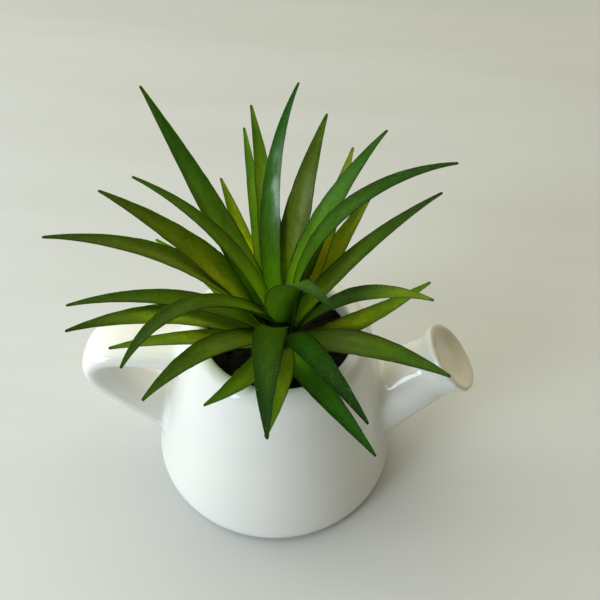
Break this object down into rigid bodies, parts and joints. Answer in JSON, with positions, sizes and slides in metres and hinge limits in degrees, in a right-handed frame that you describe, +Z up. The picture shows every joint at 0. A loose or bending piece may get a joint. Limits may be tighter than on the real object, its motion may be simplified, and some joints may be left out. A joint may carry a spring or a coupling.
{
  "type": "potted succulent",
  "caption": "Rosette of long pointed succulent leaves on a short stem, in dark soil in a small white glazed watering-can planter with a strap handle and a spout.",
  "frame": {"origin": "centre of the planter's flat underside", "axes": "+Z up, +X from the planter's axis towards the spout, -X towards the handle, -Y the side with the most forward leaves"},
  "size_m": [0.1284, 0.0941, 0.1311],
  "materials": {
    "white_glaze": "gloss",
    "soil": "matte",
    "stem": "matte",
    "leaf_deep": "satin",
    "leaf_mid": "satin",
    "leaf_pale": "satin",
    "leaf_olive": "satin"
  },
  "bodies": {
    "root": {"pot": "white_glaze", "soil": "soil", "stem": "stem", "leaf_01": "leaf_pale", "leaf_02": "leaf_mid", "leaf_03": "leaf_mid", "leaf_04": "leaf_pale", "leaf_05": "leaf_olive", "leaf_06": "leaf_pale", "leaf_07": "leaf_pale", "leaf_08": "leaf_pale", "leaf_09": "leaf_pale", "leaf_10": "leaf_mid", "leaf_11": "leaf_mid", "leaf_12": "leaf_mid", "leaf_13": "leaf_deep", "leaf_14": "leaf_mid", "leaf_15": "leaf_deep", "leaf_16": "leaf_olive", "leaf_17": "leaf_olive", "leaf_18": "leaf_deep", "leaf_19": "leaf_mid", "leaf_20": "leaf_mid", "leaf_21": "leaf_olive", "leaf_22": "leaf_olive", "leaf_23": "leaf_deep", "leaf_24": "leaf_deep", "leaf_25": "leaf_mid", "leaf_26": "leaf_mid", "leaf_27": "leaf_mid", "leaf_28": "leaf_olive", "leaf_29": "leaf_deep", "leaf_30": "leaf_deep", "leaf_31": "leaf_mid"}
  },
  "joints": []
}
